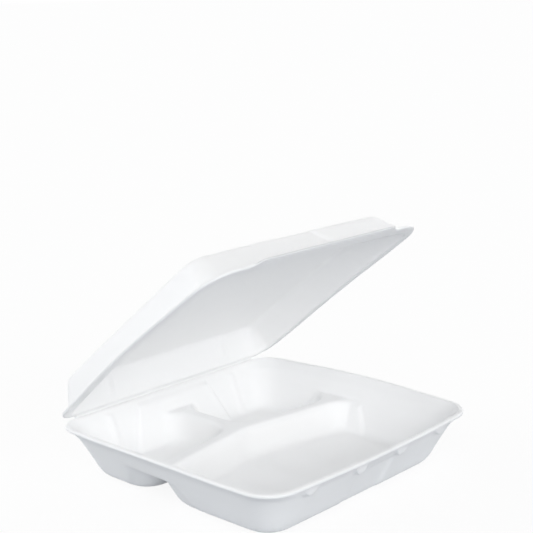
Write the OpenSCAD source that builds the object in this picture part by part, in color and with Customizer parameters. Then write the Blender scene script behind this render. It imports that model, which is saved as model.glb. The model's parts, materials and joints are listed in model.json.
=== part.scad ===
// Hinged foam food container: a base with three compartments and a lid, formed from one sheet.
// Both trays are drawn in one working frame. The fold between them lies on the X axis, the rims
// lie on Z = 0 and the trays reach towards the front, which is -Y. The lid is drawn as a tray,
// turned over and swung open about the fold. The finished part stands on Z = 0.

/* [Size] */

// Width of the rim at its front corners
rim_w = 199; // [186:1:226]
// Depth of the rim, from the fold to the front edge
rim_d = 190; // [176:1:210]
// Height of the base from the table to the rim
base_h = 36; // [33:0.5:42]
// Height of the lid from the rim to its top
lid_h = 23; // [19:0.5:32]
// Thickness of the foam sheet
sheet = 2.4; // [1.8:0.1:2.8]
// How far each side of the rim bows out at mid length
side_bow = 4.5; // [0:0.5:6]
// How far the front of the rim bows out at mid width
front_bow = 4.5; // [0:0.5:6]
// Bow left at the height of the table, as a share of the bow of the rim
floor_bow_share = 0.2; // [0.1:0.05:1]
// How far both rims arch up at the middle of each side
side_arch = 1.5; // [0:0.25:4]
// Half length of that arch, as a share of the depth
arch_share = 0.42; // [0.36:0.01:0.44]

/* [Hinge] */

// Opening of the lid as drawn
open_angle = 38.5; // [0:0.5:120]
// Gap between the two rims at the fold and when closed
fold_gap = 0.4; // [0.3:0.05:0.6]

/* [Rim] */

// Flat lip inside the edge at the front and sides
lip_w = 3; // [2.4:0.1:4]
// Flat lip of the base beside the fold
hinge_lip_w = 1.9; // [1.7:0.1:2.6]
// Radius of the front corners
front_corner_r = 18; // [15:0.5:26]
// Radius of the corners beside the fold
hinge_corner_r = 16; // [10:0.5:20]
// Drop from the rim to the crease below the flared rim
shoulder_drop = 6.5; // [5:0.5:8]

/* [Compartments] */

// Slope of the outer walls from upright
wall_draft = 24; // [20:0.5:27]
// Slope of the dividers from upright
divider_draft = 20; // [15:0.5:24]
// Drop from the rim to the top of the dividers
deck_drop = 14; // [12:0.5:15]
// Distance of the front wall inside the rim, at the height of the dividers
front_wall_in = 11; // [9.5:0.5:13]
// Distance of the side walls inside the rim, at the height of the dividers
side_wall_in = 11; // [10:0.5:13]
// Width of the dividers across the top, before it is rounded
crest_w = 10; // [9:0.5:13]
// Rounding along the top of the dividers
crest_r = 3.5; // [2:0.25:4]
// Rounding where the walls meet the floors
floor_r = 7; // [5:0.5:8]
// Distance from the fold to the meeting point of the dividers, as a share of the depth
junction_share = 0.36; // [0.32:0.01:0.42]
// How far the ends of the long divider lie in front of its middle
divider_sweep = 14; // [6:0.5:20]
// Corner radius of the compartments at the outer corners
outer_corner_r = 18; // [16:0.5:22]
// Corner radius of the compartments beside the dividers
inner_corner_r = 18; // [15:0.5:22]
// How much a corner tightens towards the floor, as a share of the slope of its walls
tighten_share = 0.5; // [0.3:0.05:0.7]
// Small step that keeps one surface clear of another, such as a compartment wall of the tray above it
ledge = 0.2; // [0.1:0.05:0.4]

/* [Pressed panels] */

// Depth that the panels are pressed into the walls
panel_depth = 2.5; // [1:0.25:3.5]
// Half width of the panel in the front wall of the base
front_panel_half = 17; // [12:0.5:24]
// Half width, at the top, of the panels where the long divider meets the sides
side_panel_half = 20; // [16:0.5:24]
// Half width, at the top, of the panel in the hinge wall
hinge_panel_half = 33; // [28:0.5:38]
// How much wider those panels are on each side at the floor
panel_flare = 11; // [4:0.5:13]
// Height over which the top of a panel leans back into its wall
panel_bevel = 3; // [2:0.25:4]
// Distance of the two narrow ribs in the hinge wall from the middle
rib_x = 58; // [54:0.5:62]
// Half width of those ribs
rib_half = 2; // [1.5:0.25:3]
// Depth that the ribs stand into the base
rib_depth = 1.5; // [0.75:0.25:2.5]
// Width of the slanting flank of a panel or rib
flank = 1.6; // [0.8:0.2:2.4]

/* [Stacking lugs] */

// Distance of the inner lugs under the front lip from the middle
inner_lug_x = 20; // [16:0.5:26]
// Distance of the outer lugs under the front lip from the middle
outer_lug_x = 64; // [54:0.5:66]
// Half width of a lug
lug_half = 5; // [3:0.5:7]
// Height of a lug
lug_h = 7; // [5:0.5:8]
// Distance of the front of a lug inside the edge of the rim
lug_in = 2.2; // [2:0.1:3]
// How much narrower a lug is all round at its foot
lug_taper = 1.2; // [0.6:0.1:1.6]

/* [Lid] */

// Flat lip of the lid at the front
lid_front_lip = 5; // [4:0.5:7]
// Flat lip of the lid at the sides
lid_side_lip = 4.5; // [3.5:0.5:6]
// Flat lip of the lid beside the fold
lid_hinge_lip = 3; // [2.5:0.5:8]
// Slope of the front of the lid from upright
lid_front_draft = 33; // [26:0.5:36]
// Slope of the sides of the lid from upright
lid_side_draft = 20; // [14:0.5:26]
// Slope of the back of the lid from upright
lid_hinge_draft = 21; // [16:0.5:30]
// Rounding along the edge of the lid's top
lid_top_r = 4; // [2.5:0.5:6]
// Radius of the lid's front corners at the lip
lid_front_corner_r = 16; // [14:0.5:24]
// Radius of the lid's corners beside the fold, at the lip
lid_hinge_corner_r = 13; // [11:0.5:18]
// Half width of the panel in the front of the lid
lid_panel_half = 16; // [10:0.5:22]
// Distance of the ribs in the back of the lid from the middle
lid_rib_x = 54; // [48:0.5:58]
// Half width of the lifting lip along the front of the lid
lift_lip_half = 63; // [50:1:68]
// How far the lifting lip stands out
lift_lip_w = 3; // [1.5:0.25:4]

/* [Hidden] */

// Steps round each corner and along each side of an outline
corner_steps = 9;
side_steps = 8;
// Steps round the rounding at a floor or a crest
round_steps = 4;
// Overrun of cuts past the faces that they open
overrun = sheet / 4;

floor_z = sheet - base_h;
deck_z = -deck_drop;
lid_floor_z = sheet - lid_h;
hinge_wall_in = hinge_lip_w + deck_drop * tan(wall_draft);
wall_skin = sheet / cos(wall_draft);
lid_color = [0.96, 0.96, 0.955];
base_color = [0.95, 0.95, 0.945];

// Plan of the rim: front left, front right, hinge right, hinge left
rim_plan = [[-rim_w / 2, -rim_d], [rim_w / 2, -rim_d], [rim_w / 2, 0], [-rim_w / 2, 0]];
rim_radii = [front_corner_r, front_corner_r, hinge_corner_r, hinge_corner_r];

// Walls of the tray at the height of the dividers
wall_x = rim_w / 2 - side_wall_in;
front_y = front_wall_in - rim_d;
back_y = -hinge_wall_in;
junction_y = -junction_share * rim_d;
sweep_slope = divider_sweep / wall_x;
half_crest = crest_w / 2;
crest_rise = half_crest * norm([1, sweep_slope]);

// Plans of the compartments at the height of the dividers, counter-clockwise
large_plan = [
    [-wall_x, front_y],
    [wall_x, front_y],
    [wall_x, junction_y - divider_sweep - crest_rise],
    [0, junction_y - crest_rise],
    [-wall_x, junction_y - divider_sweep - crest_rise]
];
right_plan = [
    [half_crest, junction_y + crest_rise - half_crest * sweep_slope],
    [wall_x, junction_y - divider_sweep + crest_rise],
    [wall_x, back_y],
    [half_crest, back_y]
];
// Which sides of those plans, each named by its first corner, are divider sides
large_dividers = [false, false, true, true, false];
right_dividers = [true, false, false, true];
large_radii = [outer_corner_r, outer_corner_r, inner_corner_r, 2 * inner_corner_r, inner_corner_r];
tray_radii = [outer_corner_r, outer_corner_r, outer_corner_r, outer_corner_r];
right_radii = [inner_corner_r, inner_corner_r, outer_corner_r, inner_corner_r];
lid_radii = [lid_front_corner_r, lid_front_corner_r, lid_hinge_corner_r, lid_hinge_corner_r];

// Outlines: a plan whose sides are moved inward by their own insets, with rounded corners

function unit(v) = v / norm(v);
function inward(v) = [-v[1], v[0]];
function at(list, i) = list[(i + len(list)) % len(list)];
function side_normal(plan, i) = inward(unit(at(plan, i + 1) - at(plan, i)));

// The point that lies at given distances inside the two sides that meet at corner i
function corner_point(plan, i, before, after) =
    let (
        a = side_normal(plan, i - 1),
        b = side_normal(plan, i),
        lean = a * b
    )
    plan[i] + ((before - lean * after) * a + (after - lean * before) * b) / (1 - lean * lean);

function corner_arc(plan, i, insets, radius) =
    let (
        a = side_normal(plan, i - 1),
        b = side_normal(plan, i),
        start = atan2(-a[1], -a[0]),
        turn = acos(a * b),
        centre = corner_point(plan, i, at(insets, i - 1) + radius, insets[i] + radius)
    )
    [for (k = [0 : corner_steps])
        let (angle = start + turn * k / corner_steps)
        centre + radius * [cos(angle), sin(angle)]];

// Sides bow outward between the fold and the front, and the front edge between the corners.
// The bow is full at the rim and fades towards the height of the table.
function bow_share(z) = 1 + (1 - floor_bow_share) * z / base_h;
function bowed(p, z = 0) =
    let (
        along = -p[1] / rim_d,
        across = 2 * p[0] / rim_w
    )
    [
        p[0] + bow_share(z) * side_bow * across * 4 * along * (1 - along),
        p[1] - bow_share(z) * front_bow * along * (1 - across * across)
    ];

// How much of the arch a point of the rim gets: all of it at mid depth, none near the front and the fold
function arched(p) =
    let (reach = (p[1] / rim_d + 1 / 2) / arch_share)
    pow(1 - min(reach * reach, 1), 2);

// Outline at height z, lifted along its sides
function ring(plan, insets, radii, z, lift = 0) =
    let (
        count = len(plan),
        arcs = [for (i = [0 : count - 1]) corner_arc(plan, i, insets, radii[i])]
    )
    [for (i = [0 : count - 1]) each [
        for (p = arcs[i]) concat(bowed(p, z), z + lift * arched(p)),
        for (k = [1 : side_steps - 1])
            let (p = arcs[i][corner_steps] + (at(arcs, i + 1)[0] - arcs[i][corner_steps]) * k / side_steps)
            concat(bowed(p, z), z + lift * arched(p))
    ]];

// Corner radii at some insets. They tighten with the slope of the walls, and a skin outside adds to them.
function tightened(radii, insets, skin) =
    [for (i = [0 : len(radii) - 1])
        let (mean = (at(insets, i - 1) + insets[i]) / 2)
        max(radii[i] - tighten_share * mean + (1 - tighten_share) * skin, sheet)];

// Solid through rings of equal length, listed from the lowest up
module loft(rings) {
    count = len(rings[0]);
    top = len(rings) - 1;
    polyhedron(
        points = [for (r = rings) each r],
        faces = [
            [for (k = [0 : count - 1]) k],
            for (j = [0 : top - 1], k = [0 : count - 1])
                let (
                    low = j * count,
                    high = low + count,
                    next = (k + 1) % count
                )
                each [[low + k, high + k, high + next], [low + k, high + next, low + next]],
            [for (k = [count - 1 : -1 : 0]) top * count + k]
        ],
        convexity = 6
    );
}

// Profiles: how far a wall lies inside its line at the mouth, at height z.
// The wall falls from the mouth at its draft and rounds into the floor. A skin of some thickness
// outside the wall follows the same centres, so the sheet keeps its thickness round the bend.
function wall_inset(z, mouth_z, floor_z, draft, radius, skin) =
    let (
        centre_z = floor_z + radius,
        bend_z = centre_z - (radius + skin) * sin(draft),
        centre_in = (mouth_z - centre_z + radius * sin(draft)) * tan(draft) + radius * cos(draft)
    )
    z >= bend_z
        ? (mouth_z - z) * tan(draft) - skin / cos(draft)
        : centre_in - (radius + skin) * cos(asin(min((centre_z - z) / (radius + skin), 1)));

// The top of a divider rounds over from its wall
function crest_inset(z, draft) =
    let (
        centre_in = -crest_r * (1 - sin(draft)) / cos(draft),
        climb = min(max((z - deck_z + crest_r) / crest_r, sin(draft)), 1)
    )
    centre_in + crest_r * cos(asin(climb));

// Heights of the rings round a floor bend, from the floor up
function bend_heights(floor_z, radius, skin, draft) =
    [for (k = [0 : round_steps])
        floor_z + radius - (radius + skin) * sin(90 - (90 - draft) * k / round_steps)];

function crest_heights() =
    [for (k = [0 : round_steps])
        deck_z - crest_r + crest_r * sin(divider_draft + (90 - divider_draft) * k / round_steps)];

// Inset of one side of a compartment. Divider sides are steeper and have the rounded crest.
function pod_inset(z, divider, skin) =
    let (draft = divider ? divider_draft : wall_draft)
    divider && skin == 0 && z > crest_heights()[0]
        ? crest_inset(z, draft)
        : wall_inset(min(z, deck_z), deck_z, floor_z, draft, floor_r, skin) + (divider ? 0 : ledge);

// A compartment: with no skin its hollow, with the sheet as skin its outside
module pod(plan, radii, dividers, skin) {
    heights = skin == 0
        ? concat(bend_heights(floor_z, floor_r, skin, divider_draft), crest_heights(), deck_z + overrun)
        : concat(bend_heights(floor_z, floor_r, skin, divider_draft), deck_z - overrun);
    loft([for (z = heights)
        let (insets = [for (divider = dividers) pod_inset(z, divider, skin)])
        ring(plan, insets, tightened(radii, insets, skin), z)]);
}

module pods(skin) {
    pod(large_plan, large_radii, large_dividers, skin);
    for (side = [0, 1])
        mirror([side, 0, 0])
            pod(right_plan, right_radii, right_dividers, skin);
}

function grown(radii, by) = [for (r = radii) r + by];

// Insets of the tray above the dividers for the front, right, hinge and left sides
function tray_insets(front, side, hinge) = [front, side, hinge, side];
function above_deck(z, skin) =
    let (shift = (z - deck_z) * tan(wall_draft) + skin)
    tray_insets(front_wall_in - shift, side_wall_in - shift, hinge_wall_in - shift);

// Lift of the base at height z: the full arch at the rim, none at the dividers
function base_lift(z) = side_arch * min(max((z + deck_drop) / (deck_drop - sheet), 0), 1);

function base_ring(insets, radii, z) = ring(rim_plan, insets, radii, z, base_lift(z));

// Outside of the base above the underside of the dividers: wall, flare, edge and lip.
// The last ring lies inside the mouth, so that the lip follows the arch.
module tray_outside() {
    low = deck_z - sheet;
    shoulder = -shoulder_drop - sheet / 2;
    root = lip_w - sheet / 2;
    edge = tray_insets(0, 0, fold_gap / 2);
    inside = tray_insets(lip_w + sheet, lip_w + sheet, hinge_lip_w + sheet);
    loft([
        base_ring(above_deck(low, wall_skin), grown(tray_radii, sheet), low),
        base_ring(above_deck(shoulder, wall_skin), grown(tray_radii, sheet), shoulder),
        base_ring(tray_insets(root, root, fold_gap), rim_radii, -sheet - fold_gap / 2),
        base_ring(edge, rim_radii, -sheet),
        base_ring(edge, rim_radii, -fold_gap / 2),
        base_ring(inside, grown(rim_radii, -lip_w - sheet), -fold_gap / 2)
    ]);
}

// Hollow of the base above the dividers
module tray_hollow() {
    shoulder = -shoulder_drop;
    mouth = tray_insets(lip_w, lip_w, hinge_lip_w);
    mouth_radii = grown(rim_radii, -lip_w);
    loft([
        base_ring(above_deck(deck_z, 0), tray_radii, deck_z),
        base_ring(above_deck(shoulder, 0), tray_radii, shoulder),
        base_ring(mouth, mouth_radii, -fold_gap / 2),
        ring(rim_plan, mouth, mouth_radii, side_arch + overrun)
    ]);
}

// Pressed panels: a block that leans with a wall, in a frame whose Y axis points into the tray.
// It follows the bow of the wall, and its top leans back into the wall over the height of the bevel.
module panel(half_top, half_low, depth, top, low, mouth_in, draft, bow) {
    shoulder = top - panel_bevel;
    loft([
        panel_ring(half_low, depth, depth, low, wall_line(low, mouth_in, draft, bow)),
        panel_ring(half_top, depth, depth, shoulder, wall_line(shoulder, mouth_in, draft, bow)),
        panel_ring(half_top, depth, -overrun, top, wall_line(top, mouth_in, draft, bow))
    ]);
}

// How far a wall lies inside the rim's plan at height z
function wall_line(z, mouth_in, draft, bow) = mouth_in - z * tan(draft) - bow_share(z) * bow;

// Level section of a panel that rises from the wall and whose flanks slant to its full depth
function panel_ring(half, depth, rise, z, wall_in) =
    let (
        back = half + flank * (depth + sheet) / depth,
        front = half + flank * (depth - rise) / depth
    )
    [
        [-back, wall_in - sheet, z],
        [back, wall_in - sheet, z],
        [front, wall_in + rise, z],
        [-front, wall_in + rise, z]
    ];

// Places on the walls
module on_front() {
    translate([0, -rim_d, 0])
        children();
}

module on_sides(y) {
    for (side = [0, 1])
        mirror([side, 0, 0])
            translate([-rim_w / 2, y, 0])
                rotate(-90)
                    children();
}

module on_hinge(x) {
    translate([x, 0, 0])
        rotate(180)
            children();
}

// A panel down a wall of the base, moved out by the skin when it is cut from the outside
module base_panel(half_top, half_low, depth, wall_in, bow, top, skin) {
    panel(half_top, half_low, depth, top - skin, (skin == 0 ? floor_z : -base_h) - overrun,
        wall_in - deck_drop * tan(wall_draft) - skin / cos(wall_draft), wall_draft, bow);
}

module base_panels(skin) {
    side_y = junction_y - divider_sweep;
    on_front()
        base_panel(front_panel_half, front_panel_half, panel_depth, front_wall_in,
            front_bow, -shoulder_drop, skin);
    on_sides(side_y)
        base_panel(side_panel_half, side_panel_half + panel_flare, panel_depth, side_wall_in,
            bowed([wall_x, side_y])[0] - wall_x, deck_z, skin);
    on_hinge(0)
        base_panel(hinge_panel_half, hinge_panel_half + panel_flare, panel_depth, hinge_wall_in,
            0, -sheet, skin);
    for (x = [-rib_x, rib_x])
        on_hinge(x)
            base_panel(rib_half, rib_half, rib_depth, hinge_wall_in, 0, -sheet, skin);
}

// Lugs under the front lip that keep stacked containers from jamming
module lugs() {
    for (x = [-outer_lug_x, -inner_lug_x, inner_lug_x, outer_lug_x])
        translate([x, bowed([x, -rim_d])[1], 0])
            loft([
                lug_ring(lug_half - lug_taper, lug_in + lug_taper, -sheet - lug_h),
                lug_ring(lug_half, lug_in, -sheet + overrun)
            ]);
}

function lug_ring(half, front, z) = [
    [-half, front, z],
    [half, front, z],
    [half, front_wall_in - wall_skin / 2, z],
    [-half, front_wall_in - wall_skin / 2, z]
];

module base() {
    color(base_color)
        translate([0, rim_d / 2, base_h])
            difference() {
                union() {
                    tray_outside();
                    pods(sheet);
                    lugs();
                }
                difference() {
                    union() {
                        tray_hollow();
                        pods(0);
                    }
                    base_panels(0);
                }
                base_panels(sheet);
            }
}

// The lid drawn as a tray, rim up
function lid_insets(z, skin) =
    let (
        front = wall_inset(z, 0, lid_floor_z, lid_front_draft, lid_top_r, skin),
        side = wall_inset(z, 0, lid_floor_z, lid_side_draft, lid_top_r, skin),
        back = wall_inset(z, 0, lid_floor_z, lid_hinge_draft, lid_top_r, skin)
    )
    tray_insets(
        lid_front_lip + sheet + front,
        lid_side_lip + sheet + side,
        lid_hinge_lip + sheet + back
    );

// Lift of the lid at height z. The lid lies rim up here, so its rim dips where the rim of the base rises.
function lid_lift(z) = -side_arch * min(max((z - lid_floor_z) / (lid_h - 2 * sheet), 0), 1);

function lid_ring(insets, radii, z) = ring(rim_plan, insets, radii, z, lid_lift(z));

// Rings of the lid's walls from its top to the rim
function lid_walls(skin) =
    [for (z = concat(bend_heights(lid_floor_z, lid_top_r, skin, lid_side_draft), -sheet / 2))
        let (insets = lid_insets(z, skin))
        lid_ring(insets, tightened(lid_radii, insets, skin), z)];

// A ring just inside the lid's hollow, where a solid that follows the arch is closed
function inside_lid(z) =
    let (insets = [for (inset = lid_insets(0, 0)) inset + sheet])
    lid_ring(insets, tightened(lid_radii, insets, 0), z);

module lid_outside() {
    loft(concat(lid_walls(sheet), [inside_lid(-sheet / 2)]));
}

module lid_hollow() {
    mouth = lid_insets(-sheet / 2, 0);
    loft(concat(lid_walls(0), [ring(rim_plan, mouth, tightened(lid_radii, mouth, 0), overrun)]));
}

module lid_rim() {
    edge = tray_insets(0, 0, fold_gap / 2);
    loft([
        inside_lid(-sheet),
        lid_ring(edge, rim_radii, -sheet),
        lid_ring(edge, rim_radii, -fold_gap / 2),
        inside_lid(-fold_gap / 2)
    ]);
}

// Lip that stands out along the front of the lid, with slanting ends, a little thinner than the rim
module lift_lip() {
    translate([0, -rim_d - front_bow, ledge - sheet])
        linear_extrude(sheet - fold_gap / 2 - 2 * ledge)
            polygon([
                [-lift_lip_half - lift_lip_w, lip_w],
                [lift_lip_half + lift_lip_w, lip_w],
                [lift_lip_half, -lift_lip_w],
                [-lift_lip_half, -lift_lip_w]
            ]);
}

// A panel down a wall of the lid
module lid_panel(half, depth, lip, draft, bow, skin) {
    panel(half, half, depth, -sheet - skin, (skin == 0 ? lid_floor_z : -lid_h) - overrun,
        lip + sheet - skin / cos(draft), draft, bow);
}

module lid_panels(skin) {
    on_front()
        lid_panel(lid_panel_half, panel_depth, lid_front_lip, lid_front_draft, front_bow, skin);
    for (x = [-lid_rib_x, lid_rib_x])
        on_hinge(x)
            lid_panel(rib_half, rib_depth, lid_hinge_lip, lid_hinge_draft, 0, skin);
}

module lid() {
    color(lid_color)
        translate([0, rim_d / 2, base_h])
            rotate([-open_angle, 0, 0])
                mirror([0, 0, 1])
                    difference() {
                        union() {
                            lid_rim();
                            lift_lip();
                            lid_outside();
                        }
                        difference() {
                            lid_hollow();
                            lid_panels(0);
                        }
                        lid_panels(sheet);
                    }
}

base();
lid();
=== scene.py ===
"""Foam clamshell container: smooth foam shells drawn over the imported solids, their fold, and a studio."""

import json
import math

import bpy
import numpy as np
from mathutils import Matrix, Vector
from mathutils.bvhtree import BVHTree


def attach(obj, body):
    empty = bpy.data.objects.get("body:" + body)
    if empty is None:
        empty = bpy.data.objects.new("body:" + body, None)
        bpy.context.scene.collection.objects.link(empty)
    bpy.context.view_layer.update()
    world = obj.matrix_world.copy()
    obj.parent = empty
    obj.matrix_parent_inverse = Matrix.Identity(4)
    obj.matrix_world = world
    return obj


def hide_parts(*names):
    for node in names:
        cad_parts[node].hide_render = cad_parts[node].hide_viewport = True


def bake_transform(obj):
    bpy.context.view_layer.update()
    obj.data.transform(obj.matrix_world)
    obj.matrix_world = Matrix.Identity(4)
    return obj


MM = 0.001
QUARTER_TURN = 90
WHITE = (1, 1, 1, 1)

# Shells: a core grid with rings of quads out to the rim, finer towards the rim
CELL = 0.98 * MM
CORE_INSET = 34 * MM
RING_COUNT = 42
RING_GRADING = 1.0

# Ring lines: square to the core, and fanned out from a share of each half side to its corner
FAN_START = 0.72
FAN_POWER = 1.5
FAN_TURN = 45

# Rim: searched for along the ring lines, evened out without shrinking, and rounded
RAY_START = 1.0
SEARCH_REACH = 60 * MM
SEARCH_STEPS = 16
RIM_SMOOTHING = 12
RIM_SHARES = (0.5, -0.53)
EDGE_RADIUS = 1.0 * MM
EDGE_STEPS = 6

# Surfaces: rounds of smoothing, with no effect up to the firm inset and full effect from the soft one
CRISP_SMOOTHING = 2
SOFT_SMOOTHING = 5
SMOOTHING_SHARE = 0.5
FIRM_INSET = 1.5 * MM
SOFT_INSET = 5 * MM

# Fold: a web along the hinge line, round at the back and slightly hollow at the front
FOLD_HALF_LENGTH = 83.5 * MM
FOLD_RADIUS = 1.0 * MM
FOLD_BASE_REACH = 1.8 * MM
FOLD_LID_REACH = 2.6 * MM
FOLD_SINK = 0.2 * MM
FOLD_HOLLOW = 0.45 * MM
FOLD_STEPS = 12
FOLD_SPANS = 60
FOLD_CREASE = 50

# Foam: light spreads inside the sheets, but the web of the fold is too thin for that and would look dark
FOAM_COLOR = (0.968, 0.97, 0.972, 1)
FOAM_DULL_COLOR = tuple(0.98 * c for c in FOAM_COLOR[:3]) + (1,)
SHEET_SUBSURFACE = 0.8
FOLD_SUBSURFACE = 0.0
SUBSURFACE_SCALE = 3.0 * MM
FOAM_SPECULAR = 0.35
FOAM_ROUGHNESS = (0.42, 0.62)
CELLS_PER_METRE = 1100
WAVES_PER_METRE = 70
WAVE_DETAIL = 3
CELL_BUMP = (0.12, 0.15 * MM)
WAVE_BUMP = (0.15, 0.6 * MM)

# Floor: the colour it throws up, and how much of the white that is seen of it is free of shadow
FLOOR_COLOR = (0.5, 0.53, 0.57, 1)
FLOOR_ROUGHNESS = 0.9
FLOOR_WHITE = 0.9
FLOOR_HALF = 60.0

# Light: the world's colour and strength, and for each lamp its azimuth, elevation and strength
WORLD_COLOR = (0.98, 0.99, 1, 1)
WORLD_STRENGTH = 0.45
LAMP_SPREAD = 40
LAMPS = {
    "camera_light": (-45, 30, 1.12),
    "front_light": (0, 18, 0.76),
    "back_light": (-155, 15, 1.25),
    "right_light": (100, 10, 0.7),
}

# Camera, fitted to the photograph: where it stands, where it looks from, and its lens
CAMERA_PLACE = Vector((-550.5, -514.1, 307.0)) * MM
CAMERA_AZIMUTH = -47.11
CAMERA_ELEVATION = 12.77
CAMERA_ROLL = -1.16
FOCAL_PIXELS = 1207.1
IMAGE_PIXELS = 533
SENSOR_MM = 36.0


def add_object(name, data):
    """A new object in the scene."""
    thing = bpy.data.objects.new(name, data)
    bpy.context.scene.collection.objects.link(thing)
    return thing


def add_mesh(name, points, faces):
    """A new mesh object in the scene, shaded smooth."""
    mesh = bpy.data.meshes.new(name)
    mesh.from_pydata(points, [], faces)
    mesh.shade_smooth()
    return add_object(name, mesh)


def core_outline(nx, ny):
    """Grid places round the core, counter-clockwise, and the direction of the ring line from each."""
    sides = [
        [(i, 0) for i in range(nx)],
        [(nx, j) for j in range(ny)],
        [(i, ny) for i in range(nx, 0, -1)],
        [(0, j) for j in range(ny, 0, -1)],
    ]
    places, angles = [], []
    for number, side in enumerate(sides):
        for k, place in enumerate(side):
            u = 2 * k / len(side) - 1
            fan = math.copysign(max(0, (abs(u) - FAN_START) / (1 - FAN_START)) ** FAN_POWER, u)
            places.append(place)
            angles.append(math.radians(QUARTER_TURN * (number - 1) + FAN_TURN * fan))
    return places, np.stack([np.cos(angles), np.sin(angles)], 1)


def height(tree, x, y, side):
    """Height of the solid at a plan point, seen from above (side 1) or below (side -1), or None."""
    hit = tree.ray_cast(Vector((x, y, side * RAY_START)), Vector((0, 0, -side)))[0]
    return None if hit is None else hit.z


def rim_points(tree, roots, directions):
    """Where each ring line from the core meets the edge of the solid, with the facets smoothed out."""
    reach = []
    for root, direction in zip(roots, directions):
        low, high = 0.0, SEARCH_REACH
        for _ in range(SEARCH_STEPS):
            middle = (low + high) / 2
            if height(tree, *(root + direction * middle), 1) is None:
                high = middle
            else:
                low = middle
        reach.append(low)
    found = roots + directions * np.array(reach)[:, None]
    points = found
    for _ in range(RIM_SMOOTHING):
        for share in RIM_SHARES:
            mean = (np.roll(points, 1, 0) + np.roll(points, -1, 0)) / 2
            points = points + share * (mean - points)
    on_solid = [height(tree, *p, 1) is not None for p in points - directions * EDGE_RADIUS]
    return np.where(np.array(on_solid)[:, None], points, found)


def ring_plan(tree, roots, directions):
    """Plan points of the rings from the core outwards, their insets, and the outward directions."""
    lines = rim_points(tree, roots, directions) - roots
    reach = np.linalg.norm(lines, axis=1)
    directions = lines / reach[:, None]
    rim_share = np.linspace(1, 0, RING_COUNT + 1)[1:]
    insets = CORE_INSET * (rim_share + RING_GRADING * rim_share**2) / (1 + RING_GRADING)
    rings = []
    for inset in insets:
        share = inset / CORE_INSET
        inward = EDGE_RADIUS + inset * (1 + ((reach - EDGE_RADIUS) / CORE_INSET - 1) * share**2)
        rings.append(roots + directions * (reach - inward)[:, None])
    return rings, insets, directions


def grid_quads(nx, ny):
    """Quads of the core grid, whose points run along y first."""
    row = ny + 1
    return [
        (i * row + j, (i + 1) * row + j, (i + 1) * row + j + 1, i * row + j + 1)
        for i in range(nx)
        for j in range(ny)
    ]


def numbered_loops(start, count, number):
    """Point numbers of closed loops of count points each, stored one after the other."""
    return [[start + r * count + k for k in range(count)] for r in range(number)]


def loop_quads(loops):
    """Quads between each closed loop of points and the next."""
    count = len(loops[0])
    return [
        (inner[k], outer[k], outer[(k + 1) % count], inner[(k + 1) % count])
        for inner, outer in zip(loops, loops[1:])
        for k in range(count)
    ]


def softened(heights, edges, weight, rounds):
    """Heights evened out over neighbouring points, which rounds edges as a formed sheet rounds them."""
    count = len(heights)
    degree = np.bincount(edges.ravel(), minlength=count)
    for _ in range(rounds):
        total = np.bincount(edges[:, 0], heights[edges[:, 1]], count)
        total += np.bincount(edges[:, 1], heights[edges[:, 0]], count)
        heights = heights + weight * SMOOTHING_SHARE * (total / degree - heights)
    return heights


def rounded_edge(rim, directions, side):
    """Rows of points from the flat of the rim, on its upper (1) or lower (-1) side, out to its middle."""
    rows = []
    for turn in np.radians(np.linspace(QUARTER_TURN, 0, EDGE_STEPS))[1:]:
        plan = rim[:, :2] + directions * EDGE_RADIUS * math.cos(turn)
        rows.append(np.column_stack([plan, rim[:, 2] - side * EDGE_RADIUS * (1 - math.sin(turn))]))
    return rows


def foam_shell(name, solid, to_tray, outside_smoothing):
    """A smooth closed shell over a solid. to_tray turns the solid so that its rim faces up."""
    corners = [to_tray @ v.co for v in solid.vertices]
    tree = BVHTree.FromPolygons(corners, [p.vertices for p in solid.polygons])
    box = np.array(corners)
    low, high = box.min(0)[:2] + CORE_INSET, box.max(0)[:2] - CORE_INSET
    nx, ny = (int(round(n)) for n in (high - low) / CELL)

    # Plan of one side: the core grid, then the rings
    xs, ys = np.linspace(low[0], high[0], nx + 1), np.linspace(low[1], high[1], ny + 1)
    core = np.stack([axis.ravel() for axis in np.meshgrid(xs, ys, indexing="ij")], 1)
    places, directions = core_outline(nx, ny)
    first = [i * (ny + 1) + j for i, j in places]
    count = len(first)
    rings, insets, directions = ring_plan(tree, core[first], directions)
    plan = np.concatenate([core, *rings])
    depth = np.concatenate([np.full(len(core), CORE_INSET), np.repeat(insets, count)])

    # Quads of one side, and the edges between its points
    loops = [first] + numbered_loops(len(core), count, RING_COUNT)
    quads = np.array(grid_quads(nx, ny) + loop_quads(loops))
    edges = np.sort(np.concatenate([quads[:, [a, (a + 1) % 4]] for a in range(4)]), 1)
    edges = np.unique(edges, axis=0)

    # Heights of the two sides, softened away from the rim
    weight = np.clip((depth - FIRM_INSET) / (SOFT_INSET - FIRM_INSET), 0, 1)
    sides = []
    for side, rounds in ((1, CRISP_SMOOTHING), (-1, outside_smoothing)):
        heights = np.array([height(tree, x, y, side) for x, y in plan], float)
        sides.append(np.column_stack([plan, softened(heights, edges, weight, rounds)]))
    top, bottom = sides

    # Rounded edge of the rim, from the top ring round to the bottom ring
    rim, size = loops[-1], len(plan)
    rows = rounded_edge(top[rim], directions, 1) + rounded_edge(bottom[rim], directions, -1)[::-1]
    strips = [rim] + numbered_loops(2 * size, count, len(rows)) + [[size + k for k in rim]]
    points = np.concatenate([top, bottom, *rows])
    faces = np.concatenate([quads, quads[:, ::-1] + size, loop_quads(strips)])

    from_tray = to_tray.inverted()
    return add_mesh(name, [from_tray @ Vector(p) for p in points], faces.tolist())


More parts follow.
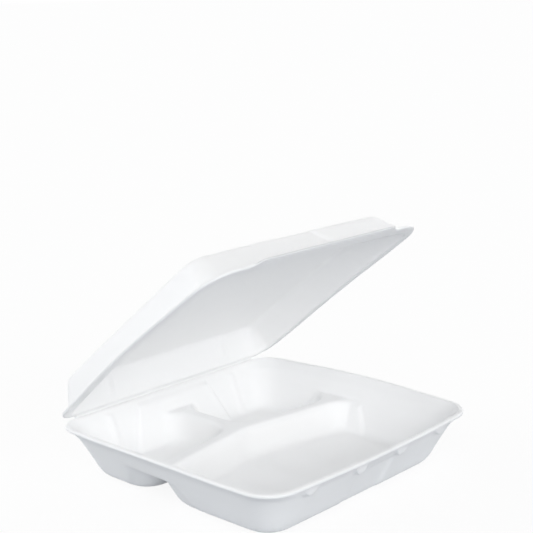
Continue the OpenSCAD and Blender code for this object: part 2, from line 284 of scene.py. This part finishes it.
def fold_web(name, pivot, lid_turn):
    """A web that fills the room between the lips of base and lid, and where its back meets each of them."""
    shares = [k / FOLD_STEPS for k in range(FOLD_STEPS + 1)]
    angles = [-math.pi / 2 + (math.pi - lid_turn) * s for s in shares]
    section = [Vector((0, math.cos(a), math.sin(a))) * FOLD_RADIUS for a in angles]
    base_edge = Vector((0, -FOLD_BASE_REACH, -FOLD_SINK))
    lid_edge = Matrix.Rotation(-lid_turn, 3, "X") @ Vector((0, -FOLD_LID_REACH, FOLD_SINK))
    inward = -(base_edge + lid_edge).normalized() * FOLD_HOLLOW
    section += [lid_edge.lerp(base_edge, s) + inward * 4 * s * (1 - s) for s in shares]
    count = len(section)
    spans = [FOLD_HALF_LENGTH * (2 * s / FOLD_SPANS - 1) for s in range(FOLD_SPANS + 1)]
    points = [pivot + Vector((x, 0, 0)) + p for x in spans for p in section]
    loops = [loop[::-1] for loop in numbered_loops(0, count, FOLD_SPANS + 1)]
    web = add_mesh(name, points, loop_quads(loops) + [loops[0], loops[-1][::-1]])
    web.data.set_sharp_from_angle(angle=math.radians(FOLD_CREASE))
    return web, [pivot + section[0], pivot + section[FOLD_STEPS]]


def add_bump(tree, height_output, look, under=None):
    """The normal of a bump with the given strength and distance, laid over an earlier one."""
    bump = tree.nodes.new("ShaderNodeBump")
    bump.inputs["Strength"].default_value, bump.inputs["Distance"].default_value = look
    tree.links.new(height_output, bump.inputs["Height"])
    if under is not None:
        tree.links.new(under, bump.inputs["Normal"])
    return bump.outputs["Normal"]


def foam_material(name, subsurface):
    """White foam sheet: fine closed cells, faint waviness and a soft satin surface."""
    material = bpy.data.materials.new(name)
    material.use_nodes = True
    tree = material.node_tree
    shader = tree.nodes["Principled BSDF"]
    shader.inputs["Subsurface Weight"].default_value = subsurface
    shader.inputs["Subsurface Radius"].default_value = (1, 1, 1)
    shader.inputs["Subsurface Scale"].default_value = SUBSURFACE_SCALE
    shader.inputs["Specular IOR Level"].default_value = FOAM_SPECULAR

    place = tree.nodes.new("ShaderNodeTexCoord").outputs["Object"]
    cells = tree.nodes.new("ShaderNodeTexVoronoi")
    cells.inputs["Scale"].default_value = CELLS_PER_METRE
    tree.links.new(place, cells.inputs["Vector"])
    wave = tree.nodes.new("ShaderNodeTexNoise")
    wave.inputs["Scale"].default_value = WAVES_PER_METRE
    wave.inputs["Detail"].default_value = WAVE_DETAIL
    tree.links.new(place, wave.inputs["Vector"])

    tone = tree.nodes.new("ShaderNodeValToRGB")
    tone.color_ramp.elements[0].color = FOAM_DULL_COLOR
    tone.color_ramp.elements[1].color = FOAM_COLOR
    tree.links.new(wave.outputs["Fac"], tone.inputs["Fac"])
    tree.links.new(tone.outputs["Color"], shader.inputs["Base Color"])

    gloss = tree.nodes.new("ShaderNodeMapRange")
    gloss.inputs["To Min"].default_value, gloss.inputs["To Max"].default_value = FOAM_ROUGHNESS
    tree.links.new(wave.outputs["Fac"], gloss.inputs["Value"])
    tree.links.new(gloss.outputs["Result"], shader.inputs["Roughness"])

    broad = add_bump(tree, wave.outputs["Fac"], WAVE_BUMP)
    fine = add_bump(tree, cells.outputs["Distance"], CELL_BUMP, broad)
    tree.links.new(fine, shader.inputs["Normal"])
    return material


def seen_directly(tree):
    """1 for rays from the camera, also by way of a reflection or through something clear, 0 for light."""
    path = tree.nodes.new("ShaderNodeLightPath")
    seen = path.outputs["Is Camera Ray"]
    for name in ("Is Glossy Ray", "Is Transmission Ray"):
        either = tree.nodes.new("ShaderNodeMath")
        either.operation = "MAXIMUM"
        tree.links.new(seen, either.inputs[0])
        tree.links.new(path.outputs[name], either.inputs[1])
        seen = either.outputs[0]
    return seen


def add_mix(tree, first, second):
    """A mix of two shaders."""
    mix = tree.nodes.new("ShaderNodeMixShader")
    tree.links.new(first, mix.inputs[1])
    tree.links.new(second, mix.inputs[2])
    return mix


def floor_material():
    """Pale floor that is near white to the camera, keeps the shadow and throws little light up."""
    material = bpy.data.materials.new("floor")
    material.use_nodes = True
    tree = material.node_tree
    bounce = tree.nodes["Principled BSDF"]
    bounce.inputs["Base Color"].default_value = FLOOR_COLOR
    bounce.inputs["Roughness"].default_value = FLOOR_ROUGHNESS
    shaded = tree.nodes.new("ShaderNodeBsdfDiffuse")
    shaded.inputs["Color"].default_value = WHITE
    glow = tree.nodes.new("ShaderNodeEmission")
    view = add_mix(tree, shaded.outputs["BSDF"], glow.outputs["Emission"])
    view.inputs["Fac"].default_value = FLOOR_WHITE
    mix = add_mix(tree, bounce.outputs["BSDF"], view.outputs["Shader"])
    tree.links.new(seen_directly(tree), mix.inputs["Fac"])
    tree.links.new(mix.outputs["Shader"], tree.nodes["Material Output"].inputs["Surface"])
    return material


def add_floor():
    """A wide floor under the object, which isn't part of it."""
    corners = [(FLOOR_HALF * x, FLOOR_HALF * y, 0) for x, y in ((-1, -1), (1, -1), (1, 1), (-1, 1))]
    floor = add_mesh("floor", corners, [(0, 1, 2, 3)])
    floor.data.materials.append(floor_material())


def add_world():
    """Soft light from all round, white to the camera."""
    world = bpy.data.worlds.new("studio")
    bpy.context.scene.world = world
    world.use_nodes = True
    tree = world.node_tree
    light = tree.nodes["Background"]
    light.inputs["Color"].default_value = WORLD_COLOR
    light.inputs["Strength"].default_value = WORLD_STRENGTH
    white = tree.nodes.new("ShaderNodeBackground")
    white.inputs["Color"].default_value = WHITE
    mix = add_mix(tree, light.outputs["Background"], white.outputs["Background"])
    tree.links.new(seen_directly(tree), mix.inputs["Fac"])
    tree.links.new(mix.outputs["Shader"], tree.nodes["World Output"].inputs["Surface"])


def away(azimuth, elevation):
    """Direction from the object towards a place seen at these angles. Azimuth 0 is the front."""
    a, e = math.radians(azimuth), math.radians(elevation)
    return Vector((math.sin(a) * math.cos(e), -math.cos(a) * math.cos(e), math.sin(e)))


def add_softlight(name, azimuth, elevation, strength):
    """A broad far lamp, which lights the object and the floor evenly from one side."""
    lamp = bpy.data.lights.new(name, "SUN")
    lamp.angle = math.radians(LAMP_SPREAD)
    lamp.energy = strength
    light = add_object(name, lamp)
    light.rotation_euler = (-away(azimuth, elevation)).to_track_quat("-Z", "Y").to_euler()


def add_camera():
    """The camera of the photograph."""
    data = bpy.data.cameras.new("camera")
    data.sensor_width = SENSOR_MM
    data.lens = SENSOR_MM * FOCAL_PIXELS / IMAGE_PIXELS
    camera = add_object("camera", data)
    aim = (-away(CAMERA_AZIMUTH, CAMERA_ELEVATION)).to_track_quat("-Z", "Y").to_matrix()
    turn = aim @ Matrix.Rotation(math.radians(CAMERA_ROLL), 3, "Z")
    camera.matrix_world = Matrix.Translation(CAMERA_PLACE) @ turn.to_4x4()
    bpy.context.scene.camera = camera


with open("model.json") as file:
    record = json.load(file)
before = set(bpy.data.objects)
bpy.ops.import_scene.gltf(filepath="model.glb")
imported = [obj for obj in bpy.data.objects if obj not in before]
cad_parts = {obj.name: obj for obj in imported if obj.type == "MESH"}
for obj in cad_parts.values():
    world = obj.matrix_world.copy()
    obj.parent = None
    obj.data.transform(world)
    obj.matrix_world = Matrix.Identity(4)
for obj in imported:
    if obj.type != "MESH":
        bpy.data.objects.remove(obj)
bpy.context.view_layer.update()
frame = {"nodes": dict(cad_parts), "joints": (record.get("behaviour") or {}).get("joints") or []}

hinge = frame["joints"][0]
pivot = Vector(hinge["pos_m"])
closed_deg, open_deg = hinge["range_deg"]
laid_open = (
    Matrix.Translation(pivot)
    @ Matrix.Rotation(math.radians(open_deg), 4, Vector(hinge["axis"]))
    @ Matrix.Translation(-pivot)
)

base_shell = foam_shell("base_shell", frame["nodes"]["base"].data, Matrix.Identity(4), SOFT_SMOOTHING)
lid_shell = foam_shell("lid_shell", frame["nodes"]["lid"].data, laid_open, CRISP_SMOOTHING)
fold, fold_ends = fold_web("fold", pivot, math.radians(-closed_deg))

foam = foam_material("foam_sheet", SHEET_SUBSURFACE)
fold_foam = foam_material("foam_fold", FOLD_SUBSURFACE)
for piece, material in ((base_shell, foam), (lid_shell, foam), (fold, fold_foam)):
    piece.data.materials.append(material)
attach(base_shell, "base")
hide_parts("base")
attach(lid_shell, "lid")
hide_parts("lid")
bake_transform(fold)

add_floor()
add_world()
for name, (azimuth, elevation, strength) in LAMPS.items():
    add_softlight(name, azimuth, elevation, strength)
add_camera()
bpy.context.scene.view_settings.view_transform = "Standard"
